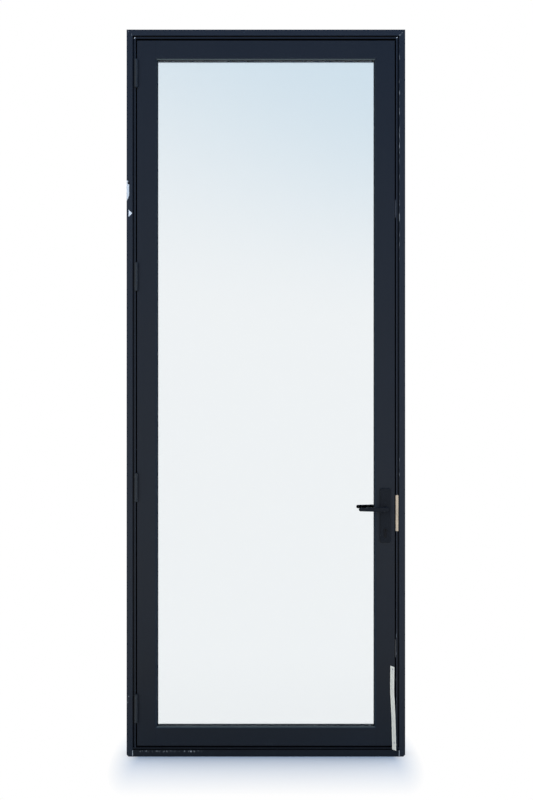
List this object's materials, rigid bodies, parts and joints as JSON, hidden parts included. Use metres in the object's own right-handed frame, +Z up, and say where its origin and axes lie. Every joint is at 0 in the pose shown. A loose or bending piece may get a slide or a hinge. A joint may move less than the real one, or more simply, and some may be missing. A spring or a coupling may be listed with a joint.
{
  "type": "exterior door",
  "caption": "Tall narrow glazed exterior door leaf in a four-sided metal frame, hung on butt hinges, with a lever handle and a cylinder lock.",
  "frame": {"origin": "on the underside of the sill, at the middle of the door's width and of the leaf's thickness", "axes": "+X to the right seen from the front, front faces -Y, +Z up along the door's height"},
  "size_m": [1.168, 0.187, 3.048],
  "materials": {
    "frame_paint": "satin powder coat",
    "leaf_paint": "satin powder coat",
    "bead_paint": "satin powder coat",
    "polyamide": "matt",
    "cleat_aluminium": "mill finish",
    "zinc_steel": "zinc plated",
    "hardware_screws": "dark zinc",
    "seal_rubber": "matt",
    "hinge_metal": "satin powder coat",
    "strike_finish": "dull champagne plating",
    "glass": "clear, sealed double unit",
    "spacer_aluminium": "matt",
    "edge_sealant": "matt",
    "setting_plastic": "matt",
    "cylinder_brass": "nickel plated",
    "handle_metal": "satin powder coat",
    "strip_plastic": "satin, off-white"
  },
  "bodies": {
    "frame": {"frame_head_front": "frame_paint", "frame_head_back": "frame_paint", "frame_hinge_jamb_front": "frame_paint", "frame_hinge_jamb_back": "frame_paint", "frame_lock_jamb_front": "frame_paint", "frame_lock_jamb_back": "frame_paint", "frame_sill_front": "frame_paint", "frame_sill_back": "frame_paint", "frame_thermal_strips": "polyamide", "frame_corner_cleats": "cleat_aluminium", "frame_sill_blocks": "cleat_aluminium", "frame_sill_screws": "zinc_steel", "frame_weatherstrip": "seal_rubber", "hinge_frame_halves": "hinge_metal", "hinge_pins": "hinge_metal", "hinge_frame_screws": "hardware_screws", "strike_plate": "strike_finish", "bolt_keeps": "zinc_steel", "keep_screws": "hardware_screws"},
    "leaf": {"leaf_hinge_stile_front": "leaf_paint", "leaf_hinge_stile_back": "leaf_paint", "leaf_lock_stile_front": "leaf_paint", "leaf_lock_stile_back": "leaf_paint", "leaf_top_rail_front": "leaf_paint", "leaf_top_rail_back": "leaf_paint", "leaf_bottom_rail_front": "leaf_paint", "leaf_bottom_rail_back": "leaf_paint", "leaf_thermal_strips": "polyamide", "leaf_corner_blocks": "cleat_aluminium", "leaf_corner_screws": "zinc_steel", "glass_front_pane": "glass", "glass_back_pane": "glass", "glass_spacer_bars": "spacer_aluminium", "glass_edge_seal": "edge_sealant", "glass_setting_blocks": "setting_plastic", "glazing_beads_front": "bead_paint", "glazing_beads_back": "bead_paint", "glazing_gaskets_front": "seal_rubber", "glazing_gaskets_back": "seal_rubber", "hinge_leaf_halves": "hinge_metal", "hinge_leaf_screws": "hardware_screws", "lock_faceplate": "zinc_steel", "lock_cases": "zinc_steel", "lock_faceplate_screws": "hardware_screws", "lock_cylinder": "cylinder_brass", "handle_plate_front": "handle_metal", "handle_plate_back": "handle_metal", "handle_plate_screws": "hardware_screws", "edge_strip": "strip_plastic", "edge_strip_screws": "hardware_screws"},
    "lever": {"lever_front": "handle_metal", "lever_back": "handle_metal", "lever_spindle": "zinc_steel", "lock_follower": "zinc_steel"},
    "latch": {"lock_latch": "zinc_steel"},
    "bolts": {"lock_bolts": "zinc_steel"},
    "rods": {"lock_rods": "zinc_steel"},
    "turn": {"key_plug": "cylinder_brass", "thumbturn": "handle_metal"}
  },
  "joints": [
    {"name": "door_swing", "type": "hinge", "parent": "frame", "child": "leaf", "pos_m": [-0.543, -0.0365, 1.129], "axis": [0, 0, -1], "range_deg": [0, 120]},
    {"name": "lever_turn", "type": "hinge", "parent": "leaf", "child": "lever", "pos_m": [0.5, 0, 1.04], "axis": [0, -1, 0], "range_deg": [0, 45], "stiffness_Nm_per_rad": 1.5, "springref_deg": -20.05},
    {"name": "latch_slide", "type": "slide", "parent": "leaf", "child": "latch", "axis": [1, 0, 0], "range_m": [0, 0.012]},
    {"name": "thumb_turn", "type": "hinge", "parent": "leaf", "child": "turn", "pos_m": [0.5, 0, 0.948], "axis": [0, 1, 0], "range_deg": [0, 90]},
    {"name": "bolts_slide", "type": "slide", "parent": "leaf", "child": "bolts", "axis": [1, 0, 0], "range_m": [0, 0.02]},
    {"name": "rods_slide", "type": "slide", "parent": "leaf", "child": "rods", "axis": [0, 0, 1], "range_m": [0, 0.02]}
  ],
  "couplings": [
    {"joint": "thumb_turn", "follows": "bolts_slide", "rad_per_m": 78.54},
    {"joint": "rods_slide", "follows": "bolts_slide", "ratio": 1}
  ]
}
